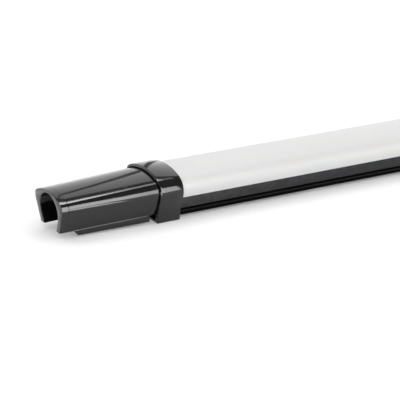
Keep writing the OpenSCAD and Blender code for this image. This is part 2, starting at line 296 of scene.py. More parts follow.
# %% Settled dust
def make_settled_dust():
    tree, given, result = new_effect("settled_dust", {"Scale": 900.0, "Size": 0.12})
    specks = add(tree, "TexVoronoi", Vector=given["Position"], Scale=given["Scale"])
    small = add(tree, "Math", specks.outputs["Distance"], given["Size"], operation="LESS_THAN")
    facing = add(tree, "SeparateXYZ", add(tree, "NewGeometry").outputs["Normal"])
    upward = add(tree, "MapRange", facing.outputs["Z"], From_Min=0.2, From_Max=0.9)
    patches = add(tree, "TexNoise", Vector=given["Position"], Scale=70.0, Detail=3.0)
    some = add(tree, "MapRange", patches.outputs["Fac"], From_Min=0.48, From_Max=0.66)
    lying = product(tree, upward.outputs[0], some.outputs[0])
    tree.links.new(product(tree, small.outputs[0], lying), result)
    return tree


settled_dust = make_settled_dust()

# %% [markdown]
# Edge rub follows the curvature of the mesh: convex rims are rubbed, with a
# noise that breaks the line up. Drawn lines are noise stretched along X, the
# direction in which profiles are pushed and sheet is rolled. Recess shade is
# painted shade: it darkens the narrow grooves and corners that little light reaches.

# %% Edge rub, drawn lines and painted recess shade
def make_edge_rub():
    tree, given, result = new_effect("edge_rub", {"Amount": 1.0})
    rim = add(tree, "MapRange", add(tree, "NewGeometry").outputs["Pointiness"], From_Min=0.515, From_Max=0.6)
    worn = use(tree, gloss_drift, given["Position"], Scale=160.0, Low=0.0, High=1.0)
    tree.links.new(product(tree, product(tree, rim.outputs[0], worn), given["Amount"]), result)
    return tree


def make_drawn_lines():
    tree, given, result = new_effect("drawn_lines", {"Scale": 900.0, "Low": 0.0, "High": 1.0}, "Value")
    stretch = add(tree, "Mapping", given["Position"], Scale=(0.012, 1.0, 1.0))
    lines = add(tree, "TexNoise", Vector=stretch.outputs[0], Scale=given["Scale"], Detail=3.0, Roughness=0.6)
    spread = add(tree, "MapRange", lines.outputs["Fac"], From_Min=0.3, From_Max=0.7,
        To_Min=given["Low"], To_Max=given["High"])
    tree.links.new(spread.outputs[0], result)
    return tree


def make_recess_shade():
    """Painted shade: 1 deep in a groove or corner, 0 on open surfaces; the sampled span is a few millimetres.
    """
    tree, given, result = new_effect("recess_shade", {"Reach": 0.004})
    open_sky = add(tree, "AmbientOcclusion", samples=8, Distance=given["Reach"])
    shut = add(tree, "MapRange", open_sky.outputs["AO"], From_Min=0.75, From_Max=0.3)
    uneven = use(tree, gloss_drift, given["Position"], Scale=90.0, Low=0.85, High=1.0)
    tree.links.new(product(tree, shut.outputs[0], uneven), result)
    return tree


edge_rub = make_edge_rub()
drawn_lines = make_drawn_lines()
recess_shade = make_recess_shade()
print("effects:", [g.name for g in bpy.data.node_groups])

# %% [markdown]
# ## Finishes
# A finish starts from a principled shader with its uniform values on the
# sockets. Small steps then add what varies: gloss, tint, hairlines, dust, rub
# and relief. One finish is made for each material slot of the record.

# %% Steps that a finish is made of
def start_finish(slot, colour, roughness, metallic=0.0, **sockets):
    material = bpy.data.materials.new(slot)
    material.use_nodes = True
    tree = material.node_tree
    shader = tree.nodes["Principled BSDF"].inputs
    values = {"Base Color": (*colour, 1), "Roughness": roughness, "Metallic": metallic}
    values.update({label.replace("_", " "): value for label, value in sockets.items()})
    for label, value in values.items():
        shader[label].default_value = value
    finishes[slot] = material
    return tree, shader, add(tree, "TexCoord").outputs["Object"]


def so_far(socket):
    """What feeds a shader input now: the socket linked to it, or its own value."""
    return socket.links[0].from_socket if socket.links else socket.default_value


def vary_gloss(tree, shader, position, low, high, scale=45.0, effect=None):
    """Roughness drifts between low and high."""
    drift = use(tree, effect or gloss_drift, position, Scale=scale, Low=low, High=high)
    tree.links.new(drift, shader["Roughness"])


def roughen(tree, shader, mask, by):
    """Adds to the roughness where a mask is set."""
    more = add(tree, "Math", mask, by, so_far(shader["Roughness"]), operation="MULTIPLY_ADD", use_clamp=True)
    tree.links.new(more.outputs[0], shader["Roughness"])


def tint(tree, shader, mask, colour):
    """Mixes a colour over what the base colour is so far."""
    blend = add(tree, "Mix", mask, data_type="RGBA")
    feed(tree, so_far(shader["Base Color"]), blend.inputs[6])
    feed(tree, (*colour, 1), blend.inputs[7])
    tree.links.new(blend.outputs[2], shader["Base Color"])


def relief(tree, shader, height, depth, inwards=False):
    """Adds a bump of the given depth in millimetres on top of those before it."""
    bump = add(tree, "Bump", invert=inwards, Strength=1.0, Distance=depth * MM, Height=height)
    if shader["Normal"].links:
        feed(tree, so_far(shader["Normal"]), bump.inputs["Normal"])
    tree.links.new(bump.outputs[0], shader["Normal"])


finishes = {}

# %% [markdown]
# The hoods and end caps are polished ABS. The mould's slight waviness bends the
# reflections, a few hairlines and specks of dust lie on top, and the rims are a
# touch greyer where they are handled.

# %% Gloss black mouldings
def make_gloss_black():
    tree, shader, position = start_finish("gloss_black", (0.0045, 0.0045, 0.005), 0.09)
    vary_gloss(tree, shader, position, 0.07, 0.115, 30.0)
    lines = use(tree, hairlines, position, Scale=42.0, Width=0.004)
    roughen(tree, shader, lines, 0.1)
    dust = use(tree, settled_dust, position, Scale=750.0, Size=0.09)
    roughen(tree, shader, dust, 0.4)
    tint(tree, shader, dust, (0.12, 0.12, 0.115))
    rub = use(tree, edge_rub, position, Amount=0.5)
    roughen(tree, shader, rub, 0.12)
    tint(tree, shader, rub, (0.02, 0.02, 0.021))
    relief(tree, shader, use(tree, gloss_drift, position, Scale=26.0), 0.012)
    relief(tree, shader, lines, 0.001, inwards=True)


make_gloss_black()

# %% [markdown]
# The diffuser is satin opal polycarbonate. Light enters it and comes out again
# close by, so it has a little scattering under the skin, faint extrusion lines
# along its length and a soft sheen.

# %% Opal diffuser
def make_opal():
    tree, shader, position = start_finish("opal", (0.675, 0.675, 0.67), 0.55, IOR=1.45,
        Subsurface_Weight=0.2, Subsurface_Scale=0.0015, Specular_IOR_Level=0.3)
    vary_gloss(tree, shader, position, 0.5, 0.6, 38.0)
    flow = use(tree, drawn_lines, position, Scale=500.0)
    relief(tree, shader, flow, 0.003)
    cloud = use(tree, gloss_drift, position, Scale=14.0, Low=0.0, High=0.35)
    tint(tree, shader, cloud, (0.655, 0.66, 0.66))
    dust = use(tree, settled_dust, position, Scale=700.0, Size=0.07)
    tint(tree, shader, dust, (0.45, 0.44, 0.42))
    lines = use(tree, hairlines, position, Scale=30.0, Width=0.003)
    roughen(tree, shader, lines, 0.12)


make_opal()

# %% [markdown]
# The profile is aluminium, anodised black: a satin metal with die lines along
# its length and rubbed, slightly brighter lips. The skirt carries painted shade:
# it is tinted darker from the groove down and darker still below the lip, and
# painted recess shade makes the groove and the cove darkest. The clips are bright
# stainless strip with a rolled grain. Screws and nuts are nickel plated, and the
# contacts are gold plated.

# %% Metals
# painted shade: below each height the skirt is tinted darker, more below the lip
PAINTED_SHADE_BANDS = ((9.1, (0.02, 0.02, 0.021)), (6.0, (0.007, 0.007, 0.0075)))  # height it starts below, colour
BAND_FADE, SKIRT_WIDTH, SKIRT_FADE = 0.2, 5, 0.5


def make_extrusion_finish():
    tree, shader, position = start_finish("extrusion", (0.04, 0.04, 0.042), 0.36, 1.0)
    vary_gloss(tree, shader, position, 0.28, 0.42, 1400.0, drawn_lines)
    relief(tree, shader, use(tree, drawn_lines, position, Scale=1100.0), 0.006)
    tint(tree, shader, use(tree, gloss_drift, position, Scale=22.0, High=0.6), (0.032, 0.032, 0.034))
    rub = use(tree, edge_rub, position, Amount=0.6)
    tint(tree, shader, rub, (0.11, 0.11, 0.112))
    place = add(tree, "SeparateXYZ", position)
    width = add(tree, "Math", place.outputs["Y"], operation="ABSOLUTE")
    skirt_in = side_y(BODY_FLOOR) - SKIRT_WIDTH
    skirt = add(tree, "MapRange", width.outputs[0], From_Min=skirt_in * MM,
        From_Max=(skirt_in + SKIRT_FADE) * MM)
    # painted shade bands, darker towards the bottom of the skirt
    for top, colour in PAINTED_SHADE_BANDS:
        low = add(tree, "MapRange", place.outputs["Z"], From_Min=(top + BAND_FADE) * MM, From_Max=top * MM)
        tint(tree, shader, product(tree, low.outputs[0], skirt.outputs[0]), colour)
    # painted shade: grooves and corners tinted near black by ambient occlusion
    tint(tree, shader, use(tree, recess_shade, position, Reach=0.004), (0.0015, 0.0015, 0.0015))
    roughen(tree, shader, use(tree, hairlines, position, Scale=50.0, Width=0.005), 0.2)


def make_steel_finish():
    tree, shader, position = start_finish("clip_steel", (0.70, 0.70, 0.69), 0.2, 1.0)
    vary_gloss(tree, shader, position, 0.13, 0.3, 2200.0, drawn_lines)
    relief(tree, shader, use(tree, drawn_lines, position, Scale=2000.0), 0.004)
    tint(tree, shader, use(tree, gloss_drift, position, Scale=60.0, High=0.7), (0.6, 0.6, 0.595))
    lines = use(tree, hairlines, position, Scale=80.0, Width=0.006)
    roughen(tree, shader, lines, 0.15)
    tint(tree, shader, use(tree, edge_rub, position, Amount=1.0), (0.85, 0.85, 0.84))


def make_plated(slot, colour, low, high):
    tree, shader, position = start_finish(slot, colour, low, 1.0)
    vary_gloss(tree, shader, position, low, high, 300.0)
    darker = tuple(0.72 * c for c in colour)
    tint(tree, shader, use(tree, gloss_drift, position, Scale=240.0, High=0.8), darker)
    lines = use(tree, hairlines, position, Scale=260.0, Width=0.012)
    roughen(tree, shader, lines, 0.2)
    relief(tree, shader, lines, 0.003, inwards=True)
    tint(tree, shader, use(tree, edge_rub, position, Amount=0.8), tuple(min(1, 1.15 * c) for c in colour))


make_extrusion_finish()
make_steel_finish()
make_plated("screws", (0.62, 0.61, 0.59), 0.2, 0.36)
make_plated("nut", (0.66, 0.65, 0.62), 0.24, 0.4)
make_plated("contacts", (0.86, 0.66, 0.3), 0.16, 0.3)

# %% [markdown]
# The remaining parts are mouldings, rubber and small components. They share one
# recipe: a grain in relief, a drift in gloss and tint, fine dust on top.

# %% Mouldings, rubber and components
def make_moulded(slot, colour, low, high, grain, depth, other=None):
    tree, shader, position = start_finish(slot, colour, low)
    vary_gloss(tree, shader, position, low, high, 110.0)
    relief(tree, shader, use(tree, gloss_drift, position, Scale=grain), depth)
    tint(tree, shader, use(tree, gloss_drift, position, Scale=75.0), other or tuple(0.8 * c for c in colour))
    dust = use(tree, settled_dust, position, Scale=1100.0, Size=0.1)
    tint(tree, shader, dust, tuple(0.5 * c + 0.1 for c in colour))
    rub = use(tree, edge_rub, position, Amount=0.5)
    tint(tree, shader, rub, tuple(min(1, 1.3 * c + 0.01) for c in colour))


make_moulded("connector", (0.018, 0.018, 0.02), 0.38, 0.52, 1600.0, 0.012)
make_moulded("gasket", (0.05, 0.05, 0.052), 0.65, 0.8, 2400.0, 0.03)
make_moulded("seal", (0.24, 0.035, 0.022), 0.55, 0.7, 2400.0, 0.02)
make_moulded("lead_insulation", (0.035, 0.12, 0.34), 0.35, 0.48, 900.0, 0.01)
make_moulded("terminal", (0.72, 0.72, 0.68), 0.4, 0.52, 1500.0, 0.01)
make_moulded("board", (0.8, 0.81, 0.8), 0.3, 0.42, 700.0, 0.006)
make_moulded("led", (0.86, 0.62, 0.12), 0.25, 0.38, 3000.0, 0.008, (0.9, 0.78, 0.36))
make_moulded("chip", (0.02, 0.02, 0.021), 0.5, 0.66, 3200.0, 0.01)
make_moulded("fuse", (0.06, 0.2, 0.09), 0.3, 0.42, 900.0, 0.008)
make_moulded("varistor", (0.03, 0.09, 0.32), 0.35, 0.5, 900.0, 0.012)
print("finishes:", len(finishes))

# %% [markdown]
# ## The connector hood
# The hood is a moulded inverted U that hides the plug and its lead. It is open
# underneath and at its end, tapers towards the free end, has a thin top and
# thick sides, and carries a foot rail under each leg. Lofting ribs gives the
# taper; the leg's foot has the same number of points in every rib, so the rail
# can start on a slope and stop dead before the collar. A shallow groove marks
# off the band at the mouth, and the mouth leans back a little.

# %% Ribs of the hood
# half width, top, crown radius, belt height, turn radius, lean, then the feet of wall and rail
RIB_AT_COLLAR = (BELT_HALF - 0.6, CROWN_Z - 0.6, CROWN_R, BELT_Z, 11.4, LEAN, 7.2, 2.4)
RIB_AT_MOUTH = (24.4, 34.3, 53.6, 25, 11, 23.5, 4.9, 1.1)
TUNNEL = (15.8, 32.5, 18, 19, 14, 24)
CAP_WALL_OUT = 4
PEG_Y, PEG_Z, PEG_R, PEG_L, PEG_GAP = 21.3, 23, 2.5, 12, 0.1
BOSS_Y, BOSS_Z, BOSS_R, POCKET_R, POCKET_DEPTH = 18.2, 11.5, 2.9, 3.3, 3
MOUTH_LEAN, MOUTH_TOP, MOUTH_BAND = math.tan(math.radians(2.4)), 34.4, 5.6
MOUTH_ROUND, FEET_ROUND = 0.45, 0.25
RAIL_START, RAIL_FULL, RAIL_STOP = HOOD_OUT - 12.5, HOOD_OUT - 16.5, HOOD_OUT - 76


def mix(a, b, t):
    return a + (b - a) * t


def hood_rib(x, grow=0.0, rail=0.0):
    """Closed arch outline of the hood at a distance x from the extrusion's end."""
    t = (x - HOOD_IN) / (HOOD_OUT - HOOD_IN)
    half, top, *turns, foot, low = (mix(a, b, t) for a, b in zip(RIB_AT_COLLAR, RIB_AT_MOUTH))
    outer = half_outline(half + grow, top + grow, *turns, foot)
    tunnel = half_outline(*TUNNEL, foot)
    (out_y, _), in_y = outer.pop(), tunnel[-1][0]
    wall = [(out_y + h * math.tan(math.radians(23)), foot + h) for h in (0.9, 0.6, 0.3, 0)]
    plain = wall + [(mix(out_y, in_y, s), foot) for s in (0.02, 0.04, 0.5, 0.52)]
    cove = [(out_y + 0.38, foot + 0.9), (out_y + 0.3, foot + 0.55), (out_y + 0.42, foot + 0.25),
        (out_y + 0.7, foot + 0.12)]
    ridge = cove + [(out_y + 0.85, foot + 0.05), (out_y + 0.3, low), (out_y - 3.9, low), (out_y - 4.2, foot)]
    feet = [(mix(a[0], b[0], rail), mix(a[1], b[1], rail)) for a, b in zip(plain, ridge)]
    return mirrored(outer + feet + list(reversed(tunnel)))


def hood_ribs():
    """Stations along the hood as (x, grow, rail), from the collar to the mouth."""
    ribs = [(HOOD_IN, 0, 0), (RAIL_STOP - 0.01, 0, 0), (RAIL_STOP, 0, 1)]
    ribs += [(mix(RAIL_STOP, RAIL_FULL, i / 6), 0, 1) for i in range(1, 7)]
    ribs += [(RAIL_START, 0, 0)]
    groove = HOOD_OUT - MOUTH_BAND
    ribs += [(groove - 0.5, 0, 0), (groove - 0.25, -0.22, 0), (groove, 0.05, 0)]
    return ribs + [(HOOD_OUT, 0.05, 0)]


def bored_end(bm, rim, x, bores):
    """Closes a rim with a face that has round blind holes in it: (y, z, radius, end x) each."""
    edges = list(rim)
    for y, z, radius, end in bores:
        circle = arc((y, z), radius, 0, 348.75, 31)
        mouth, bottom = add_loop(bm, circle, at_x(x)), add_loop(bm, circle, at_x(end))
        bmesh.ops.bridge_loops(bm, edges=mouth + bottom)
        bmesh.ops.contextual_create(bm, geom=bottom)
        edges += mouth
    bmesh.ops.triangle_fill(bm, use_beauty=True, use_dissolve=False, edges=edges)


def make_hood(name, body, far):
    bm = bmesh.new()
    loops = []
    for x, grow, rail in hood_ribs():
        slope = MOUTH_LEAN * max(0, (x - RAIL_FULL) / (HOOD_OUT - RAIL_FULL))
        place = lambda y, z, x=x, slope=slope: (BODY_END + x - (MOUTH_TOP - z) * slope, y, z)
        loops.append(add_loop(bm, hood_rib(x, grow, rail), place))
    skin(bm, loops, cap_first=False)
    wall = BODY_END + CAP_WALL_OUT
    pegs = [(side * PEG_Y, PEG_Z, PEG_R + PEG_GAP, wall + PEG_L + 1) for side in (-1, 1)]
    pockets = [(side * BOSS_Y, BOSS_Z, POCKET_R, wall + POCKET_DEPTH) for side in (-1, 1)]
    bored_end(bm, loops[0], BODY_END + HOOD_IN, pegs + pockets)
    bmesh.ops.recalc_face_normals(bm, faces=bm.faces)
    mouth = (BODY_END + HOOD_OUT - 2.5) * MM
    rims = sharp_edges(bm, 50, lambda e: min(v.co.x for v in e.verts) > mouth)
    round_edges(bm, rims, MOUTH_ROUND)
    feet = sharp_edges(bm, 40, lambda e: max(v.co.z for v in e.verts) < 9.5 * MM
        and max(v.co.x for v in e.verts) < mouth - 3 * MM)
    round_edges(bm, feet, FEET_ROUND, 2)
    finish_piece(bm, name, body, "gloss_black", [body], far)


make_hood("connector_hood_near", "near_hood", False)
make_hood("connector_hood_far", "far_hood", True)

# %% [markdown]
# ## The end cap and its collar
# One moulding closes the extrusion, wraps its end in a collar that stands on a
# straight foot, and holds the connector, the hood's pegs and the cap screws on
# a wall 3 mm behind its rim. Loops run from the inside of the body socket, over
# the collar and into the recess, so the whole cap is one closed skin. The rim
# towards the hood has the larger radius, which draws a soft bright edge.

# %% Make the end caps
CAP_WALL_IN, FOOT_TOP, FOOT = 1, 9.2, [(23.6, 1.0), (22.6, 0.0)]
SOCKET_GAP, RECESS_GAP, RIM_ROUND, BACK_ROUND = 0.15, 0.1, 1.2, 0.35


def collar_loop():
    upper = half_outline(BELT_HALF + COLLAR_WALL, CROWN_Z + COLLAR_WALL, CROWN_R + COLLAR_WALL, BELT_Z,
        TURN_R + COLLAR_WALL, LEAN, FOOT_TOP)
    return mirrored(upper + FOOT)


def socket_loop(grow=SOCKET_GAP):
    """The body's outline with two more points on its floor, to match the collar's."""
    right = body_half(grow, BODY_FLOOR - grow)
    y, z = right[-1]
    return mirrored(right + [(y - 1.5, z), (y - 3, z)])


def make_cap(name, node, far):
    bm = bmesh.new()
    stations = [(CAP_WALL_IN, socket_loop()), (COLLAR_IN, socket_loop()), (COLLAR_IN, collar_loop()),
        (COLLAR_FACE, collar_loop()), (COLLAR_FACE, socket_loop(RECESS_GAP)),
        (CAP_WALL_OUT, socket_loop(RECESS_GAP))]
    loops = [add_loop(bm, outline, at_x(BODY_END + x)) for x, outline in stations]
    skin(bm, loops)
    bmesh.ops.recalc_face_normals(bm, faces=bm.faces)
    face = (BODY_END + COLLAR_FACE - 0.1) * MM
    wide = sharp_edges(bm, 60, lambda e: min(v.co.x for v in e.verts) > face and outside(e))
    round_edges(bm, wide, RIM_ROUND, 5)
    back = (BODY_END + COLLAR_IN + 0.1) * MM
    round_edges(bm, sharp_edges(bm, 60, lambda e: max(v.co.x for v in e.verts) < back), BACK_ROUND)
    for side in (-1, 1):
        lathe(bm, [(0, 0), (0, PEG_R), (PEG_L - 0.8, PEG_R), (PEG_L, PEG_R - 0.8), (PEG_L, 0)],
            BODY_END + CAP_WALL_OUT - 0.2, side * PEG_Y, PEG_Z, 32)
    finish_piece(bm, name, "batten", "gloss_black", [node], far)


def outside(edge):
    """True on the collar's outer outline, false on the recess inside it."""
    limit = BELT_HALF + 0.8
    y, z = abs(edge.verts[0].co.y) / MM, edge.verts[0].co.z / MM
    return z < 1.5 or z > CROWN_Z + 0.8 or y > min(limit, side_or_crown(z))


def side_or_crown(z):
    """Half width midway between the recess and the collar's outside at a height."""
    right = body_half(1.1, 0)
    for (y0, z0), (y1, z1) in zip(right, right[1:]):
        if z1 <= z <= z0:
            return mix(y0, y1, (z0 - z) / (z0 - z1))
    return right[-1][0]


make_cap("end_cap_near", "near_end_cap", False)
make_cap("end_cap_far", "far_end_cap", True)

# %% [markdown]
# ## The opal diffuser
# The dome is an extruded polycarbonate shell, 2.2 mm thick, whose lower edges
# step inwards and clip inside the extrusion. One closed outline, run along the
# body, makes it; both faces of the wall come from the same arcs.

# %% Make the diffuser
DIFFUSER_T, JOINT_GAP, LIP_DEPTH, LIP_OUT, LIP_IN = 2.2, 0.08, 2.5, 1.5, 3


def diffuser_outline():
    def cut(grow, foot):
        points = [p for p in body_half(grow) if p[1] > foot + 0.4]
        return points + [(side_y(foot, -grow), foot)]
    outer = cut(0, JOINT_Z + JOINT_GAP)
    tip = JOINT_Z - LIP_DEPTH
    lip = [(side_y(JOINT_Z, LIP_OUT), JOINT_Z + JOINT_GAP), (side_y(tip, LIP_OUT), tip),
        (side_y(tip, LIP_IN), tip), (side_y(JOINT_Z + 1, LIP_IN), JOINT_Z + 1)]
    return mirrored(outer + lip + list(reversed(cut(-DIFFUSER_T, JOINT_Z + 1.5))))


def make_prism(name, outline, slot, node, radius, angle):
    """A closed outline run along the whole light body, with its long edges rounded."""
    bm = bmesh.new()
    steps = [-BODY_END + 2 * BODY_END * i / 8 for i in range(9)]
    skin(bm, [add_loop(bm, outline, at_x(x)) for x in steps])
    bmesh.ops.recalc_face_normals(bm, faces=bm.faces)
    along = sharp_edges(bm, angle, lambda e: abs(e.verts[0].co.x - e.verts[1].co.x) > 1 * MM)
    round_edges(bm, along, radius, 2)
    finish_piece(bm, name, "batten", slot, [node])


make_prism("opal_diffuser", diffuser_outline(), "opal", "diffuser", 0.25, 30)

# %% [markdown]
# ## The base extrusion
# The aluminium profile carries everything: leaning skirts with a side groove
# and a thin lip, a deck for the LED boards, two screw channels and a T-rail
# underneath that the clips grip. It is drawn as one walk round the profile, so
# the grooves are real and their lips catch the light.

# %% Make the extrusion
DECK_LOW, DECK_TOP, SKIRT_T, STEP_Z, STEP_T, FOOT_T = 12.8, 14.5, 1.8, 16.4, 1.4, 4
GROOVE_LOW, GROOVE_TOP, GROOVE_DEPTH = 6.9, 9.2, 2.4
COVE_LOW, COVE_TOP, COVE_DEPTH = 3.4, 6.1, 0.9
RAIL_IN, RAIL_OUT, TOE_OUT, TOE_TOP = 9.5, 11, 13, 4.2


def extrusion_half():
    """Right half of the profile: deck, skirt, side grooves, screw channel, T-rail."""
    skirt = [(0, DECK_TOP), (side_y(DECK_TOP, SKIRT_T), DECK_TOP), (side_y(STEP_Z, SKIRT_T), STEP_Z),
        (side_y(STEP_Z, STEP_T), STEP_Z), (side_y(JOINT_Z, STEP_T), JOINT_Z), (side_y(JOINT_Z), JOINT_Z)]
    groove = [(side_y(GROOVE_TOP), GROOVE_TOP), (side_y(GROOVE_TOP, GROOVE_DEPTH), GROOVE_TOP),
        (side_y(GROOVE_LOW, GROOVE_DEPTH), GROOVE_LOW), (side_y(GROOVE_LOW), GROOVE_LOW)]
    cove = [(side_y(COVE_TOP), COVE_TOP), (side_y(COVE_TOP, COVE_DEPTH), COVE_TOP),
        (side_y(COVE_LOW, COVE_DEPTH), COVE_LOW), (side_y(COVE_LOW), COVE_LOW)]
    floor = [(side_y(BODY_FLOOR), BODY_FLOOR), (side_y(BODY_FLOOR, FOOT_T), BODY_FLOOR)]
    boss = arc((BOSS_Y, BOSS_Z), BOSS_R, -75, -205, 8)
    rail = [(RAIL_OUT, DECK_LOW), (RAIL_OUT, TOE_TOP), (TOE_OUT, TOE_TOP), (TOE_OUT, BODY_FLOOR),
        (RAIL_IN, BODY_FLOOR), (RAIL_IN, DECK_LOW), (0, DECK_LOW)]
    return skirt + groove + cove + floor + boss + rail


make_prism("rail_extrusion", mirrored(extrusion_half()), "extrusion", "base_extrusion", 0.18, 30)

# %% [markdown]
# ## The mounting clips
# Each clip is one strip of spring steel, bent along ten lines: a flat base
# with a screw hole, raised pads, upright arms, a waist and a flared lip with a
# hole for a release tool. The strip is laid out bend by bend, thickened, and
# its cut edges are given the small radius that deburring leaves.

# %% Bend and pierce the clips
CLIP_T, CLIP_L, BEND_R, CUT_ROUND, SCREW_HOLE_R, TOOL_HOLE_R = 0.8, 20, 0.62, 0.12, 2.25, 1.45
CLIP_BENDS = [(8.2, 0.4), (9.6, 1.75), (13.9, 1.75), (13.9, 5), (12, 6.6)]
CLIP_LIP = (14.33, 10.1)


def rounded_line(points, radius, steps=6):
    """The line with an arc in place of every inner corner."""
    points = [Vector(p) for p in points]
    out = [points[0]]
    for before, corner, after in zip(points, points[1:], points[2:]):
        a, b = (before - corner).normalized(), (after - corner).normalized()
        half = a.angle(b) / 2
        centre = corner + (a + b).normalized() * radius / math.sin(half)
        reach = radius / math.tan(half)
        start, stop = (corner + a * reach - centre).normalized(), (corner + b * reach - centre).normalized()
        out += [centre + start.slerp(stop, i / steps) * radius for i in range(steps + 1)]
    return out + [points[-1]]


def beside(line, distance):
    """The line moved sideways, to its left, by a distance."""
    out = []
    for i, p in enumerate(line):
        way = (line[min(i + 1, len(line) - 1)] - line[max(i - 1, 0)]).normalized()
        out.append(p + Vector((-way.y, way.x)) * distance)
    return out


def pierced_strip(bm, p, q, half_l, hole_r, place):
    """A flat face between two lines of the strip, with a round hole in it."""
    corners = [place(-half_l, p), place(half_l, p), place(half_l, q), place(-half_l, q)]
    along, middle = (q - p).normalized(), (p + q) / 2
    turns = [math.tau * i / 40 for i in range(40)]
    hole = [place(hole_r * math.cos(t), middle + along * hole_r * math.sin(t)) for t in turns]
    edges = []
    for ring in (corners, hole):
        verts = [bm.verts.new(c) for c in ring]
        edges += [bm.edges.new(pair) for pair in zip(verts, verts[1:] + verts[:1])]
    bmesh.ops.triangle_fill(bm, use_beauty=True, use_dissolve=False, edges=edges)


def make_clip(name, node):
    low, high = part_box(node)
    middle_x = 0.5 * (low.x + high.x)
    right = CLIP_BENDS + [CLIP_LIP]
    bends = [(-y, z) for y, z in reversed(right)] + right
    line = beside(rounded_line(bends, BEND_R), -CLIP_T / 2)
    place = lambda x, p: Vector((middle_x + x * MM, p.x * MM, p.y * MM))
    bm = bmesh.new()
    half_l = CLIP_L / 2
    for i, (p, q) in enumerate(zip(line, line[1:])):
        if p.x < 0 < q.x:
            pierced_strip(bm, p, q, half_l, SCREW_HOLE_R, place)
        elif i in (0, len(line) - 2):
            pierced_strip(bm, p, q, half_l, TOOL_HOLE_R, place)
        else:
            bm.faces.new([bm.verts.new(place(x, c)) for x, c in
                ((-half_l, p), (half_l, p), (half_l, q), (-half_l, q))])
    bmesh.ops.remove_doubles(bm, verts=bm.verts, dist=1e-6)
    bmesh.ops.recalc_face_normals(bm, faces=bm.faces)
    base = [f for f in bm.faces if max(v.co.z for v in f.verts) < 0.01 * MM]
    if base[0].normal.z > 0:
        bmesh.ops.reverse_faces(bm, faces=bm.faces)
    bmesh.ops.solidify(bm, geom=bm.faces, thickness=CLIP_T * MM)
    bmesh.ops.recalc_face_normals(bm, faces=bm.faces)
    round_edges(bm, sharp_edges(bm, 60), CUT_ROUND, 2)
    finish_piece(bm, name, node, "clip_steel", [node])


make_clip("spring_clip_a", "clip_a")
make_clip("spring_clip_b", "clip_b")

# %% [markdown]
# ## The connectors inside the hoods
# A round chassis connector sits in each cap: pins at the near end, sleeves at
# the far end, so battens plug into one another. The shell is turned: threaded
# throat, flange, barrel with a lead-in at its mouth. The contacts are turned
# too, with rounded tips. Spinning one outline round an axis is the quickest way
# to a turned part, and it keeps every ring exactly round.

# %% Turn the connector shells and contacts
SOCKET_Z, BARREL_R, FLANGE_R, THROAT_R, CAVITY_R = 23.8, 6.8, 7.8, 6, 5.2
CONTACT_RING, PIN_R, ROOT_R = 2.6, 0.75, 1.6


def shell_profile():
    thread = []
    for i in range(8):
        x = -3.6 + i
        thread += [(x, THROAT_R), (x + 0.3, THROAT_R - 0.35), (x + 0.6, THROAT_R)]
    flange = [(5, THROAT_R), (5, FLANGE_R - 0.2), (5.2, FLANGE_R), (6.2, FLANGE_R), (6.5, FLANGE_R - 0.3)]
    barrel = [(6.5, BARREL_R + 0.25), (6.75, BARREL_R), (12, BARREL_R), (12.2, BARREL_R - 0.25),
        (13, BARREL_R - 0.25), (13.2, BARREL_R), (19.6, BARREL_R), (20, BARREL_R - 0.4)]
    cavity = [(20, CAVITY_R + 0.5), (19.5, CAVITY_R), (8.3, CAVITY_R), (8, CAVITY_R - 0.3), (8, 0)]
    return [(-4, 0), (-4, THROAT_R - 0.3)] + thread + flange + barrel + cavity


def make_connector(name, node, far):
    bm = bmesh.new()
    lathe(bm, shell_profile(), BODY_END, 0, SOCKET_Z, 64)
    finish_piece(bm, name, "batten", "connector", [node], far, 30)


def contact_places():
    return [(CONTACT_RING * math.cos(math.radians(t)), SOCKET_Z + CONTACT_RING * math.sin(math.radians(t)))
        for t in (90, 210, 330)]


def make_contacts(name, node, far, profile):
    bm = bmesh.new()
    for y, z in contact_places():
        lathe(bm, profile, BODY_END, y, z, 20)
    finish_piece(bm, name, "batten", "contacts", [node], far, 40)


tail = [(-6, 0), (-6, PIN_R - 0.1), (-5.9, PIN_R), (-4, PIN_R), (-4, ROOT_R)]
pin = tail + [(8.1, ROOT_R), (8.3, PIN_R), (16.4, PIN_R), (16.8, 0.55), (17, 0.25), (17, 0)]
sleeve = tail + [(16.7, ROOT_R), (17, ROOT_R - 0.3), (17, PIN_R + 0.25), (16.8, PIN_R + 0.05),
    (9, PIN_R + 0.05), (9, 0)]
make_connector("inlet_connector", "inlet_shell", False)
make_connector("outlet_connector", "outlet_shell", True)
make_contacts("inlet_contact_pins", "inlet_pins", False, pin)
make_contacts("outlet_contact_sleeves", "outlet_sleeves", True, sleeve)

# %% [markdown]
# The nut inside the cap clamps the connector. A turned part can't be a hexagon,
# so it is skinned from rings instead: each ring takes the smaller of the
# hexagon and a circle, and that is how the lathe faces off a real nut's corners.

# %% Face off the hexagon nuts
NUT_R, NUT_X, NUT_H, CORNER_CUT, BORE_CUT = 7.2, -1.5, 2.5, 0.35, 0.25
CLEAR = 9  # a hexagon so large that only the circle is left


def nut_ring(radius, limit):
    """Points round a hexagon, held within a circle, 8 to a flat."""
    ring = []
    for i in range(48):
        t = math.tau * i / 48
        flat = radius * math.cos(math.pi / 6) / math.cos((t % (math.pi / 3)) - math.pi / 6)
        r = min(flat, limit)
        ring.append((r * math.sin(t), r * math.cos(t)))
    return ring


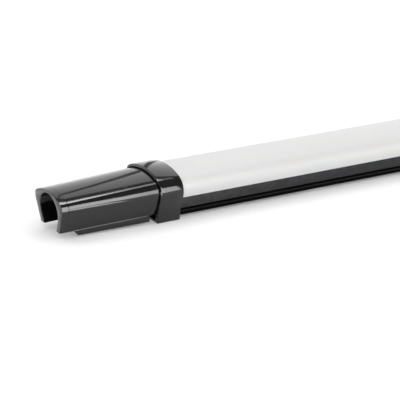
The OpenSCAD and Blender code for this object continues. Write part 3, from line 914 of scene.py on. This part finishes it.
def make_nut(name, node, far):
    bm = bmesh.new()
    faced = NUT_R * math.cos(math.pi / 6)
    rings = [(0, nut_ring(NUT_R, faced)), (CORNER_CUT, nut_ring(NUT_R, NUT_R)),
        (NUT_H - CORNER_CUT, nut_ring(NUT_R, NUT_R)), (NUT_H, nut_ring(NUT_R, faced)),
        (NUT_H, nut_ring(CLEAR, THROAT_R + BORE_CUT)), (NUT_H - BORE_CUT, nut_ring(CLEAR, THROAT_R)),
        (BORE_CUT, nut_ring(CLEAR, THROAT_R)), (0, nut_ring(CLEAR, THROAT_R + BORE_CUT))]
    loops = [add_loop(bm, ring, lambda y, z, x=x: (BODY_END + NUT_X + x, y, SOCKET_Z + z))
        for x, ring in rings]
    skin(bm, loops, False, False)
    bmesh.ops.bridge_loops(bm, edges=loops[-1] + loops[0])
    finish_piece(bm, name, "batten", "nut", [node], far, 25)


make_nut("inlet_nut_hexagon", "inlet_nut", False)
make_nut("outlet_nut_hexagon", "outlet_nut", True)

# %% [markdown]
# ## Cap screws
# Two pan-head screws at each end draw the cap against its gasket. The head is
# turned with a domed edge and a round recess in its face, and the shank carries
# thread rings.

# %% Turn the cap screws
HEAD_R, HEAD_H, SHANK_R = 2.8, 2, 1.45


def make_cap_screws(name, node, far):
    bm = bmesh.new()
    shank = [(-10, 0), (-10, SHANK_R - 0.5), (-9.4, SHANK_R - 0.1)]
    for i in range(18):
        shank += [(-9.2 + 0.7 * i, SHANK_R), (-8.85 + 0.7 * i, SHANK_R - 0.22)]
    head = [(CAP_WALL_OUT, SHANK_R), (CAP_WALL_OUT, HEAD_R)]
    head += [(CAP_WALL_OUT + 1 + math.sin(math.radians(t)), HEAD_R - 1 + math.cos(math.radians(t)))
        for t in (0, 25, 50, 75, 90)]
    face = CAP_WALL_OUT + HEAD_H
    recess = [(face, 1.45), (face - 0.15, 1.3), (face - 0.9, 0.9), (face - 1.1, 0)]
    for side in (-1, 1):
        lathe(bm, shank + head + recess, BODY_END, side * BOSS_Y, BOSS_Z, 24)
    finish_piece(bm, name, "batten", "screws", [node], far, 35)


make_cap_screws("near_cap_screw_pair", "near_cap_screws", False)
make_cap_screws("far_cap_screw_pair", "far_cap_screws", True)

# %% [markdown]
# ## Leads
# Three insulated leads join the connector's tails to the poles of the terminal
# at each end. Each is a round section swept down a curve that leaves both ends
# straight, as a soldered and clamped wire does.

# %% Sweep the leads
LEAD_R, CORE_R, CORE_L, LEAD_X, POLE, POLE_Z = 0.8, 0.6, 4, -4.6, 4, 19.1
_, terminal_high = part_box("far_terminal")
TERMINAL_FACE = terminal_high.x / MM - BODY_END


def lead_path(tail, mouth, steps=14):
    """Smooth path with both ends along X: cubic ease between two places."""
    path = []
    for i in range(steps + 1):
        t = i / steps
        ease = t * t * (3 - 2 * t)
        path.append(Vector([mix(a, b, share) for a, b, share in zip(tail, mouth, (t, ease, ease))]))
    return path


def make_leads(name, node, far):
    bm = bmesh.new()
    ring = arc((0, 0), 1, 0, 360 - 22.5, 15)
    for (y, z), pole in zip(contact_places(), (0, 1, -1)):
        path = lead_path((LEAD_X, y, z), (TERMINAL_FACE + 0.4, -POLE * pole, POLE_Z))
        clamped = path[-1] - Vector((CORE_L, 0, 0))
        stations = [(p, LEAD_R) for p in path] + [(path[-1], CORE_R), (clamped, CORE_R)]
        loops = [add_loop(bm, ring, lambda u, w, p=p, r=r: (BODY_END + p.x, p.y + r * u, p.z + r * w))
            for p, r in stations]
        skin(bm, loops)
    finish_piece(bm, name, "batten", "lead_insulation", [node], far, 40)


make_leads("inlet_leads", "near_leads", False)
make_leads("outlet_leads", "far_leads", True)

# %% [markdown]
# ## Finishes on the parts that keep their CAD shape
# Gaskets, seals, terminals, boards, their screws and the components on them are
# already the right shape, so each only takes the finish of its material slot.

# %% Paint the CAD parts
slots = {row["node"]: row["material_slot"] for row in frame["record"]["subparts"]}
for node, piece in frame["nodes"].items():
    for holder in piece.material_slots:
        holder.material = finishes[slots[node]]
print("painted", len(slots), "CAD parts")

# %% [markdown]
# ## Studio
# The batten stands on a plain pale floor. Gloss black is lit by what it
# reflects, so the studio is a set of plain panels: a white backdrop in two
# halves with a narrow gap, a slim strip overhead and a tall box at the front.
# Between them it stays dark, and that is what draws the bright bands along the
# hood's shoulder. A large fill from above lights the floor and the opal dome
# without showing in the reflections. Each end's black mouldings get front boxes
# of their own by light linking: seen from behind at a flat angle, wide boxes
# would burn the far half of the hood out to white. The sky is white to the
# camera and dim to everything else.

# %% Floor and panels
FLOOR_SIZE, FRONT_Y, FRONT_FOOT = 3.2, -0.6, 0.005
TALL_BOX, LOW_BOX = (0.57, 9.2), (0.39, 7.2)  # height and radiance


def make_floor():
    bm = bmesh.new()
    bmesh.ops.create_grid(bm, x_segments=8, y_segments=8, size=FLOOR_SIZE)
    mesh = bpy.data.meshes.new("studio_floor")
    bm.to_mesh(mesh)
    bm.free()
    floor = bpy.data.objects.new("studio_floor", mesh)
    bpy.context.scene.collection.objects.link(floor)
    tree, shader, position = start_finish("floor_card", (0.8, 0.8, 0.8), 0.85,
        Emission_Color=(1, 1, 1, 1), Emission_Strength=0.2)
    vary_gloss(tree, shader, position, 0.8, 0.9, 3.0)
    mesh.materials.append(finishes["floor_card"])
    return floor


def add_panel(name, centre, target, width, height, radiance, rays, roll=0, lights=()):
    """A rectangular light of a given brightness that faces a target and serves one kind of ray."""
    light = bpy.data.lights.new(name, "AREA")
    light.shape, light.size, light.size_y = "RECTANGLE", width, height
    light.energy = radiance * math.pi * width * height
    panel = bpy.data.objects.new(name, light)
    panel.location = centre
    panel.rotation_euler = (Vector(target) - Vector(centre)).to_track_quat("-Z", "Y").to_euler()
    panel.rotation_euler.rotate_axis("Z", math.radians(-roll))
    panel.visible_camera = False
    panel.visible_glossy = rays == "glossy"
    panel.visible_diffuse = rays == "diffuse"
    bpy.context.scene.collection.objects.link(panel)
    if lights:
        lit = bpy.data.collections.new(name + "_lit")
        for piece in lights:
            lit.objects.link(piece)
        panel.light_linking.receiver_collection = lit


def add_front_boxes(name, first, middle, last, lights):
    """A tall box and a lower, dimmer one beside it, side by side along the front."""
    for part, start, stop, (height, radiance) in (("tall", first, middle, TALL_BOX),
            ("low", middle, last, LOW_BOX)):
        x, z = 0.5 * (start + stop), FRONT_FOOT + 0.5 * height
        add_panel(f"{name}_{part}", (x, FRONT_Y, z), (x, 0, z), abs(stop - start), height, radiance, "glossy",
            lights=lights)


floor = make_floor()
add_panel("top_fill", (0, 0, 4), (0, 0, 0), 14, 14, 1.0, "diffuse")
add_panel("front_fill", (-0.1, -2.4, 0.9), (-0.1, 0, 0), 3.2, 1.7, 0.5, "diffuse")
add_panel("backdrop_left", (-1.032, 0.62, 0.324), (-1.032, 0, 0.324), 2.0, 1.0, 1.02, "glossy", 7.2)
add_panel("backdrop_right", (1.0, 0.62, 0.577), (1.0, 0, 0.577), 2.02, 1.16, 1.38, "glossy", 7.2)
add_panel("overhead_strip", (-0.36, 0.3, 1.2), (-0.36, 0.3, 0), 0.96, 0.33, 10.5, "glossy")
add_panel("overhead_strip_tail", (0.17, 0.3, 1.2), (0.17, 0.3, 0), 0.1, 0.36, 4.0, "glossy")
add_panel("overhead_strip_end", (0.35, 0.33, 1.2), (0.35, 0.33, 0), 0.26, 0.3, 1.6, "glossy")
near_black = [bpy.data.objects[name] for name in ("connector_hood_near", "end_cap_near")]
far_black = [bpy.data.objects[name] for name in ("connector_hood_far", "end_cap_far")]
the_rest = [o for o in bpy.context.scene.objects if o.type == "MESH" and o not in near_black + far_black]
add_front_boxes("front_box_near", -0.5, -0.095, 0.17, near_black)
add_front_boxes("front_box_far", 0.5, 0.095, -0.17, far_black)
add_front_boxes("front_box_wide", -0.95, -0.095, 0.95, the_rest)
add_panel("front_bounce", (-0.75, -0.34, 0.002), (-0.75, -0.34, 1), 0.88, 0.52, 8.0, "glossy")
add_panel("front_bounce_right", (-0.08, -0.38, 0.002), (-0.08, -0.38, 1), 0.46, 0.44, 4.5, "glossy",
    lights=the_rest)
world = bpy.data.worlds.new("studio")
world.use_nodes = True
background = world.node_tree.nodes["Background"]
background.inputs["Color"].default_value = (1, 1, 1, 1)
seen = add(world.node_tree, "LightPath").outputs["Is Camera Ray"]
strength = add(world.node_tree, "MapRange", seen, To_Min=0.25, To_Max=1.0)
feed(world.node_tree, strength.outputs["Result"], background.inputs["Strength"])
bpy.context.scene.world = world
bpy.context.scene.view_settings.view_transform = "Standard"
print("panels:", len(bpy.data.lights))

# %% [markdown]
# ## Camera
# The view is from the near end, a little above, with a long lens. The middle of
# the near hood's mouth is the point it is set up on: it is a fixed distance
# away and sits left of the middle of the frame, by a share of the frame's width.

# %% Camera
VIEW_YAW, VIEW_DOWN, LENS, SENSOR = 29.88, 19.54, 142.2, 36
MOUTH_Z, MOUTH_AWAY, MOUTH_LEFT, MOUTH_BELOW = 23.2, 1.2055, 0.38, 0.0125
near_low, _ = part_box("near_hood")
mouth = Vector((near_low.x, 0, MOUTH_Z * MM))
camera = bpy.data.objects.new("camera", bpy.data.cameras.new("camera"))
camera.data.lens, camera.data.sensor_width = LENS, SENSOR
camera.rotation_euler = (math.radians(90 - VIEW_DOWN), 0, math.radians(-VIEW_YAW))
aim = Vector((-MOUTH_LEFT * SENSOR / LENS, -MOUTH_BELOW * SENSOR / LENS, -1))
to_mouth = camera.rotation_euler.to_matrix() @ aim
camera.location = mouth - to_mouth.normalized() * MOUTH_AWAY
bpy.context.scene.collection.objects.link(camera)
bpy.context.scene.camera = camera
print("camera at", [round(v, 3) for v in camera.location])
